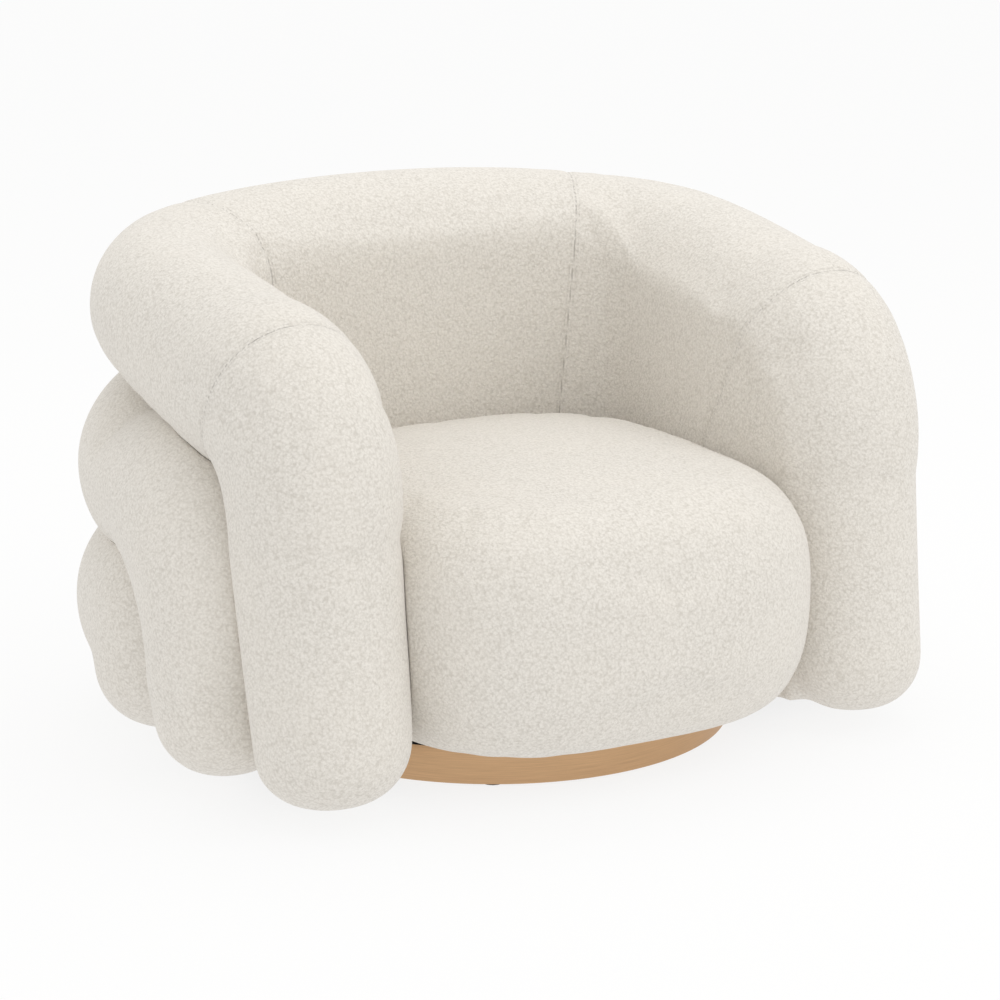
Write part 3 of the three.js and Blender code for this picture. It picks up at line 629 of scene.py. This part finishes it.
def cloth_material(name, light, dark, thread):
    """Plain woven cloth: threads over and under each other."""
    n = Nodes(name)
    parts = n.add("SeparateXYZ", {0: n.place()})
    waves = [
        n.math("SINE", n.math("MULTIPLY", parts.outputs[axis], math.pi / thread)) for axis in (0, 1)
    ]
    weave = n.math("MULTIPLY", waves[0], waves[1])
    fuzz = n.noise(n.place(), 0.4 / thread, 3.0)
    tone = n.blend(n.ramp(weave, -0.6, 0.6), dark, light)
    tone = n.blend(n.ramp(fuzz, 0.4, 0.7, 0.0, 0.4), tone, dark)
    return n.surface(Base_Color=tone, Roughness=0.92, Normal=n.bump(weave, 0.5, thread * 0.3))


def board_material():
    """Hardboard: pressed fibre with flecks."""
    n = Nodes("hardboard")
    place = n.place()
    fibre = n.noise(place, 240.0, 5.0, 0.7)
    broad = n.noise(place, 12.0, 2.0)
    tone = n.blend(n.ramp(fibre, 0.35, 0.65), (0.11, 0.062, 0.032), (0.21, 0.13, 0.07))
    tone = n.blend(n.ramp(broad, 0.4, 0.7, 0.0, 0.3), tone, (0.16, 0.09, 0.045))
    return n.surface(Base_Color=tone, Roughness=0.8, Normal=n.bump(fibre, 0.3, 0.0004))


def nylon_material():
    """Moulded nylon with a light texture and scuffs."""
    n = Nodes("glide_nylon")
    place = n.place()
    grain = n.noise(place, 700.0, 3.0)
    scuff = n.noise(place, 60.0, 4.0, 0.7)
    tone = n.blend(n.ramp(scuff, 0.45, 0.7), (0.022, 0.022, 0.022), (0.06, 0.058, 0.055))
    rough = n.ramp(scuff, 0.3, 0.7, 0.42, 0.62)
    return n.surface(Base_Color=tone, Roughness=rough, Normal=n.bump(grain, 0.2, 0.0002))


# light and dark tones
PLY = (0.55, 0.38, 0.21), (0.36, 0.22, 0.11)
BEECH = (0.50, 0.32, 0.17), (0.33, 0.19, 0.09)
WEBBING = (0.07, 0.055, 0.045), (0.025, 0.02, 0.017)
DUST_CLOTH = (0.022, 0.022, 0.023), (0.008, 0.008, 0.008)

MATERIALS = {}


def finish_for(slot):
    """The material of a record slot, made once."""
    scene = bpy.context.scene
    if slot not in MATERIALS:
        makers = {
            "boucle": lambda: boucle_material(scene.chair_cover),
            "brass_band": lambda: brass_material(scene.chair_plinth),
            "bearing_steel": steel_material,
            "plywood": lambda: wood_material("plywood", *PLY, (1.0, 7.0, 30.0), 9.0),
            "frame_timber": lambda: wood_material("beech", *BEECH, (1.5, 14.0, 14.0), 8.0),
            "hardboard": board_material,
            "webbing": lambda: cloth_material("webbing", *WEBBING, 0.0022),
            "glide_nylon": nylon_material,
            "dust_cloth": lambda: cloth_material("dust_cloth", *DUST_CLOTH, 0.0011),
        }
        MATERIALS[slot] = makers[slot]()
    return MATERIALS[slot]


def dress(obj, slot):
    obj.data.materials.clear()
    obj.data.materials.append(finish_for(slot))


# ---------------------------------------------------------------- covers
STEP = 0.012  # spacing along a tube before it is remeshed
SIDES = 72  # sides round a tube before it is remeshed
LINING_STEP = 0.03  # how far above the lining's underside its stations begin
NOSE_START = 0.997  # share of the dome where its first ring lies
UNDER_SHARES = (0.1, 0.4, 0.7, 0.9)  # rings of the seat's underside
UNDER_RISE = 0.012  # rise of the underside towards the middle


def top_shape():
    """The top roll with the lining that carries its inner side down to the frame."""
    scene = bpy.context.scene
    wall, roll = scene.chair_wall, scene.chair_top
    line = roll_stations(wall, roll, STEP)
    verts, faces = [], []
    add_loft(verts, faces, both_sides(tube_rings(line, SIDES, (-1, 0, 0))))
    at, outward, radius, *_ = line.arrays()
    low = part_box("inner_back_pad")[0].z
    keep = at[:, 2] > low + LINING_STEP
    inner = at + outward * -radius[:, None]
    deep = at + outward * -wall.skin
    rings = []
    for i in np.nonzero(keep)[0]:
        a, b = inner[i], deep[i]
        high = at[i][2]
        foot = wall.lining_low if at[i][1] < wall.lining_front else low
        rings.append([(a[0], a[1], foot), (b[0], b[1], foot), (b[0], b[1], high), (a[0], a[1], high)])
    add_loft(verts, faces, both_sides(np.array(rings)))
    return new_object("top_cover", verts, faces)


def outer_shape(name, roll):
    """An outer roll, cut flat on its inner side, where it reaches in past the middle of the wall."""
    wall = bpy.context.scene.chair_wall
    flat = -wall.bury - roll.out
    verts, faces = [], []
    if roll.reach_y > 0:
        line = roll_stations(wall, roll, STEP)
        add_loft(verts, faces, both_sides(tube_rings(line, SIDES, (-1, 0, 0), flat)))
        return new_object(name, verts, faces)
    start, _, ahead, outward = bend_ends(wall, roll, STEP)
    run = Stations()
    wall_stations(wall, roll, STEP, run)
    nose = Stations()
    dome = np.sin(np.linspace(math.pi / 2, 0, 16))[1:-1]
    dome = np.r_[NOSE_START, dome]
    for share in dome:
        at = start + ahead * roll.leg_radius * share
        nose.put(at, outward, run.radius[0] * math.sqrt(1 - share ** 2), run.tall[0], 0, 0)
    for field in ("at", "outward", "radius", "tall", "fill", "tag"):
        setattr(nose, field, getattr(nose, field) + getattr(run, field))
    add_loft(verts, faces, both_sides(tube_rings(nose, SIDES, (-1, 0, 0), flat)))
    leg = Stations()
    top = roll_height(wall, roll, 0)
    leg_stations(wall, roll, top, STEP, leg)
    last = np.array(leg.at[-1])
    for share in dome[::-1]:
        at = last + np.array([0, 0, roll.leg_radius * share])
        leg.put(at, outward, roll.leg_radius * math.sqrt(1 - share ** 2), roll.leg_tall, 0, 0)
    rings = tube_rings(leg, SIDES, (0, 0, 1), flat)
    add_loft(verts, faces, rings)
    flipped = rings.copy()
    flipped[..., 0] *= -1
    add_loft(verts, faces, flipped)
    return new_object(name, verts, faces)


def seat_shape():
    """The seat: one outline drawn in towards top and bottom, with a crowned top."""
    scene = bpy.context.scene
    seat, wall, roll = scene.chair_seat, scene.chair_wall, scene.chair_top
    rear_half = wall.back_depth - roll.back_radius + seat.tuck - seat.middle
    front_half = seat.middle - seat.front
    middle_z, half_z = (seat.low + seat.edge) / 2, (seat.edge - seat.low) / 2
    angle = np.linspace(0, 2 * math.pi, 160, endpoint=False)
    c, s = np.cos(angle), np.sin(angle)
    power = np.where(s < 0, seat.front_power, seat.rear_power)
    depth = np.where(s < 0, front_half, rear_half)

    def outline(inset, share, z):
        x = (seat.half_width - inset) * np.sign(c) * np.abs(c) ** (2 / power)
        y = (depth - inset) * np.sign(s) * np.abs(s) ** (2 / power)
        return np.stack([x * share, seat.middle + y * share, np.full_like(x, z)], 1)

    rings = []
    for up in np.sin(np.linspace(-1, 1, 36) * math.pi / 2):
        inset = seat.round_depth * (1 - (1 - abs(up) ** seat.side_power) ** (1 / seat.side_power))
        inset *= 1 if up > 0 else seat.under_share
        rings.append(outline(inset, 1, middle_z + half_z * up))
    for share in np.linspace(0.93, 0.03, 16):
        rings.append(outline(seat.round_depth, share, seat.edge + seat.crown * (1 - share ** 2)))
    rim = seat.round_depth * seat.under_share
    under = [outline(rim, share, seat.low + UNDER_RISE * (1 - share)) for share in UNDER_SHARES]
    verts, faces = [], []
    add_loft(verts, faces, np.array(under + rings))
    return new_object("seat_cover", verts, faces)


SEAM_STEP = 0.004  # spacing of the stations at which a seam may lie


def seam_planes():
    """Each seam as a place on the roll's centre line, the way along the roll there, and its half section."""
    scene = bpy.context.scene
    wall, roll, cover = scene.chair_wall, scene.chair_top, scene.chair_cover
    line = roll_stations(wall, roll, SEAM_STEP)
    at, outward, radius, _, _, tag = line.arrays()
    along = np.gradient(at, axis=0)
    planes = []
    for wanted in (cover.seam_back, -cover.seam_bend):
        i = int(np.argmin(np.abs(tag - wanted)))
        way = along[i] / np.linalg.norm(along[i])
        for side in (1, -1):
            flip = np.array([side, 1, 1])
            planes.append((at[i] * flip, way * flip, radius[i], outward[i] * flip))
    return planes


def mark_seams(obj, planes):
    """Stores the distance to the nearest seam on each point, and presses a shallow valley along it."""
    cover = bpy.context.scene.chair_cover
    co, normal = coordinates(obj), normals(obj)
    nearest = np.full(len(co), 1.0)
    for place, way, radius, outward in planes:
        off = co - place
        away = np.abs(off @ way)
        across = off @ outward
        near = (np.abs(across) < radius * 1.25) & (np.linalg.norm(off[:, :2], axis=1) < radius * 1.35)
        lining = (across < 0) & (off[:, 2] < 0)
        reach = np.abs(off[:, 2]) < radius * 1.35
        away = np.where(near & (reach | lining), away, 1.0)
        nearest = np.minimum(nearest, away)
    valley = cover.seam_depth * np.exp(-((nearest / cover.seam_width) ** 2))
    move_to(obj, co - normal * valley[:, None])
    layer = obj.data.attributes.new("seam_distance", "FLOAT", "POINT")
    layer.data.foreach_set("value", nearest.astype(np.float32))


def finish_cover(obj, nodes, planes=()):
    """Remeshed and filled cover: one subdivision, soft shading, cloth and its place in the frame."""
    obj.vertex_groups.clear()
    apply_modifier(obj, "SUBSURF", "Fine", levels=1, render_levels=1)
    mark_seams(obj, planes)
    shade_smooth(obj)
    dress(obj, "boucle")
    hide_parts(*nodes)
    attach(obj, CHAIR)


def wall_offsets(co):
    """How far each point lies outside the wall's line in plan."""
    wall = bpy.context.scene.chair_wall
    at, outward, _ = wall_line(wall, 0, -0.5, 0.005)
    flip = np.array([-1, 1])
    at, outward = np.concatenate([at, at * flip]), np.concatenate([outward, outward * flip])
    tree = kdtree.KDTree(len(at))
    for i, place in enumerate(at):
        tree.insert((place[0], place[1], 0), i)
    tree.balance()
    nearest = np.array([tree.find((x, y, 0))[1] for x, y in co[:, :2]])
    return ((co[:, :2] - at[nearest]) * outward[nearest]).sum(axis=1)


def filled(obj, on_wall=False):
    """Remesh, smooth and fill one cover. on_wall keeps its back crisp where it rests on the board."""
    cover, wall = bpy.context.scene.chair_cover, bpy.context.scene.chair_wall
    remesh(obj, cover.voxel)
    if on_wall:
        hold_points(obj, wall_offsets(coordinates(obj)) < 2 * cover.voxel - wall.bury)
    relax(obj, 6)
    swell(obj, cover.swell)
    relax(obj, 2)


class TopCover(bpy.types.Operator):
    """Builds the cover of the top roll, its legs and the lining inside the wall"""

    bl_idname = "armchair.top_cover"
    bl_label = "Top roll cover"

    def execute(self, context):
        obj = top_shape()
        filled(obj)
        finish_cover(obj, ("top_roll", "inner_back_pad"), seam_planes())
        return {"FINISHED"}


class OuterCovers(bpy.types.Operator):
    """Builds the covers of the middle and bottom rolls, pressed against those above them"""

    bl_idname = "armchair.outer_covers"
    bl_label = "Outer roll covers"

    def execute(self, context):
        scene = context.scene
        above = [bpy.data.objects["top_cover"]]
        for name, roll, node in (
            ("middle_cover", scene.chair_middle, "middle_roll"),
            ("bottom_cover", scene.chair_bottom, "bottom_roll"),
        ):
            obj = outer_shape(name, roll)
            filled(obj, on_wall=True)
            press_back(obj, [tree_of(other) for other in above], HOLD)
            finish_cover(obj, (node,))
            above.append(obj)
        return {"FINISHED"}


class SeatCover(bpy.types.Operator):
    """Builds the cover of the seat, pressed in between the lining and the legs"""

    bl_idname = "armchair.seat_cover"
    bl_label = "Seat cover"

    def execute(self, context):
        obj = seat_shape()
        filled(obj)
        press_back(obj, [tree_of(bpy.data.objects["top_cover"])], HOLD)
        relax(obj, 1, 0.3)
        finish_cover(obj, ("seat_cushion",))
        return {"FINISHED"}


# ---------------------------------------------------------------- plinth and hidden pieces
class PlinthBand(bpy.types.Operator):
    """Builds the brushed metal band round the plinth"""

    bl_idname = "armchair.plinth_band"
    bl_label = "Plinth band"

    def execute(self, context):
        low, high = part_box("plinth_band")
        radius, middle = (high.x - low.x) / 2, (low.z + high.z) / 2
        bpy.ops.object.select_all(action="DESELECT")
        bpy.ops.mesh.primitive_cylinder_add(
            vertices=256, radius=radius, depth=high.z - low.z, end_fill_type="NOTHING",
            location=(0, 0, middle),
        )
        obj = context.object
        obj.name = obj.data.name = "band"
        bpy.ops.object.transform_apply(location=True, rotation=True, scale=True)
        apply_modifier(obj, "SOLIDIFY", "Wall", thickness=0.0015, offset=-1.0)
        apply_modifier(
            obj, "BEVEL", "Edge", width=context.scene.chair_plinth.bevel, segments=3, limit_method="ANGLE"
        )
        only(obj)
        bpy.ops.object.shade_smooth_by_angle(angle=math.radians(40))
        dress(obj, "brass_band")
        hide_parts("plinth_band")
        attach(obj, PLINTH)
        return {"FINISHED"}


class DustCover(bpy.types.Operator):
    """Builds the thin cloth stretched under the seat, open round the swivel plate"""

    bl_idname = "armchair.dust_cover"
    bl_label = "Dust cover"

    def execute(self, context):
        node = frame["nodes"]["dust_cover"]
        co = coordinates(node)
        low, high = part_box("dust_cover")
        hole = np.hypot(co[:, 0], co[:, 1]).min()
        angles = np.linspace(0, 2 * math.pi, 144, endpoint=False)
        around = np.arctan2(co[:, 1], co[:, 0])
        far = np.hypot(co[:, 0], co[:, 1])
        outer = [(far[k], around[k]) for k in range(len(co)) if far[k] > hole * 1.03]
        outline = sorted({(round(a, 5), round(float(r), 5)) for r, a in outer})
        keys = np.array([a for a, _ in outline])
        reach = np.array([r for _, r in outline])
        points = np.stack([reach * np.cos(keys), reach * np.sin(keys)], 1)
        ends = [ray_to_outline(points, a) for a in angles]
        rows, verts, faces = 9, [], []
        for r in range(rows):
            share = r / (rows - 1)
            sag = 0.0025 * math.sin(math.pi * share)
            for a, end in zip(angles, ends):
                size = (hole + 0.0004) * (1 - share) + (end - 0.0004) * share
                ripple = 0.0006 * math.sin(math.pi * share) * math.sin(18 * a)
                verts.append((size * math.cos(a), size * math.sin(a), high.z - 0.0004 - sag - ripple))
        count = len(angles)
        for r in range(rows - 1):
            for k in range(count):
                a, b = r * count + k, r * count + (k + 1) % count
                faces.append((a, a + count, b + count, b))
        obj = new_object("dust_sheet", verts, faces)
        apply_modifier(obj, "SOLIDIFY", "Thickness", thickness=0.0006, offset=0.0)
        shade_smooth(obj)
        dress(obj, "dust_cloth")
        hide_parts("dust_cover")
        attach(obj, CHAIR)
        ends = np.array(ends)
        return {"FINISHED"}


def ray_to_outline(points, angle):
    """How far a ray from the axis goes before it meets a closed outline."""
    way = np.array([math.cos(angle), math.sin(angle)])
    a, b = points, np.roll(points, -1, axis=0)
    edge = b - a
    cross = way[0] * edge[:, 1] - way[1] * edge[:, 0]
    safe = np.where(np.abs(cross) < 1e-12, 1e-12, cross)
    far = (a[:, 0] * edge[:, 1] - a[:, 1] * edge[:, 0]) / safe
    share = (a[:, 0] * way[1] - a[:, 1] * way[0]) / safe
    hits = far[(share >= -1e-6) & (share <= 1 + 1e-6) & (far > 0)]
    return float(hits.max())


class FrameFinishes(bpy.types.Operator):
    """Gives every piece of the frame, the swivel plate and the plinth that still shows its material"""

    bl_idname = "armchair.frame_finishes"
    bl_label = "Frame finishes"

    def execute(self, context):
        slots = {part["node"]: part["material_slot"] for part in frame["record"]["subparts"]}
        for name, obj in frame["nodes"].items():
            if not obj.hide_render:
                dress(obj, slots[name])
        return {"FINISHED"}


# ---------------------------------------------------------------- stage
class StageSettings(bpy.types.PropertyGroup):
    """Camera and light."""

    azimuth: factor("Azimuth", 29.67, "Degrees that the camera stands to the sitter's right of the front")
    elevation: factor("Elevation", 14.16, "Degrees that the camera looks down")
    distance: length("Distance", 3.946, "Camera to the point that it looks at")
    aim_across: length("Aim across", 0.0016, "Point looked at, to the side of the origin")
    aim_height: length("Aim height", 0.2945, "Height of the point looked at")
    setback: length("Setback", 0.0124, "Point looked at, in front of the origin")
    lens: factor("Lens", 106.5, "Focal length in millimetres")


GROUPS["chair_stage"] = StageSettings


def add_light(name, place, aim, size, power, tint=(1, 1, 1)):
    data = bpy.data.lights.new(name, "AREA")
    data.shape = "DISK"
    data.size = size
    data.energy = power
    data.color = tint
    obj = bpy.data.objects.new(name, data)
    bpy.context.scene.collection.objects.link(obj)
    way = (Vector(aim) - Vector(place)).normalized()
    obj.matrix_world = Matrix.Translation(place) @ way.to_track_quat("-Z", "Y").to_matrix().to_4x4()
    return obj


class Stage(bpy.types.Operator):
    """Builds the floor, the lights and the camera"""

    bl_idname = "armchair.stage"
    bl_label = "Stage"

    def execute(self, context):
        scene = context.scene
        s = scene.chair_stage
        az, el = math.radians(s.azimuth), math.radians(s.elevation)
        right = Vector((math.cos(az), -math.sin(az), 0))
        back = Vector((-math.sin(az) * math.cos(el), -math.cos(az) * math.cos(el), math.sin(el)))
        up = back.cross(right)
        target = right * s.aim_across + Vector((0, -s.setback, s.aim_height))
        place = target + back * s.distance
        data = bpy.data.cameras.new("camera")
        data.lens = s.lens
        data.sensor_width = 36.0
        camera = bpy.data.objects.new("camera", data)
        scene.collection.objects.link(camera)
        turn = Matrix((right, up, back)).transposed().to_4x4()
        camera.matrix_world = Matrix.Translation(place) @ turn
        scene.camera = camera

        bpy.ops.object.select_all(action="DESELECT")
        bpy.ops.mesh.primitive_plane_add(size=30, location=(0, 0, 0))
        floor = context.object
        floor.name = "floor"
        n = Nodes("pale_floor")
        shader = n.add("BsdfPrincipled", {"Base Color": (0.86, 0.86, 0.855, 1), "Roughness": 0.9})
        shader.inputs["Specular IOR Level"].default_value = 0.1
        glow = n.add("Emission", {"Color": (1, 1, 1, 1), "Strength": 1.0})
        mixed = n.add("MixShader", {0: 0.82, 1: shader.outputs[0], 2: glow.outputs[0]})
        n.tree.links.new(mixed.outputs[0], n.output.inputs[0])
        floor.data.materials.append(n.material)

        world = bpy.data.worlds.new("studio")
        scene.world = world
        world.use_nodes = True
        background = world.node_tree.nodes["Background"]
        background.inputs[0].default_value = (1.0, 0.998, 0.99, 1)
        background.inputs[1].default_value = 0.96
        add_light("key", (1.2, -2.6, 3.0), (0, 0, 0.3), 4.2, 26, (1.0, 0.99, 0.975))
        add_light("top", (0.4, 0.6, 3.4), (0, 0, 0.4), 2.4, 16)
        scene.view_settings.view_transform = "Standard"
        return {"FINISHED"}


class ArmchairPanel(bpy.types.Panel):
    """Lists the pieces of the armchair"""

    bl_idname = "VIEW3D_PT_armchair"
    bl_label = "Armchair"
    bl_space_type = "VIEW_3D"
    bl_region_type = "UI"
    bl_category = "Armchair"

    def draw(self, context):
        for operator in OPERATORS:
            self.layout.operator(operator.bl_idname)


OPERATORS = (TopCover, OuterCovers, SeatCover, PlinthBand, DustCover, FrameFinishes, Stage)


def register():
    for name, group in GROUPS.items():
        bpy.utils.register_class(group)
        setattr(bpy.types.Scene, name, bpy.props.PointerProperty(type=group))
    for item in (*OPERATORS, ArmchairPanel):
        bpy.utils.register_class(item)


def unregister():
    for item in (ArmchairPanel, *reversed(OPERATORS)):
        bpy.utils.unregister_class(item)
    for name, group in GROUPS.items():
        delattr(bpy.types.Scene, name)
        bpy.utils.unregister_class(group)


def main():
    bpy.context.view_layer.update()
    register()
    bpy.ops.armchair.top_cover()
    bpy.ops.armchair.outer_covers()
    bpy.ops.armchair.seat_cover()
    bpy.ops.armchair.plinth_band()
    bpy.ops.armchair.dust_cover()
    bpy.ops.armchair.frame_finishes()
    bpy.ops.armchair.stage()


if __name__ == "__main__":
    main()
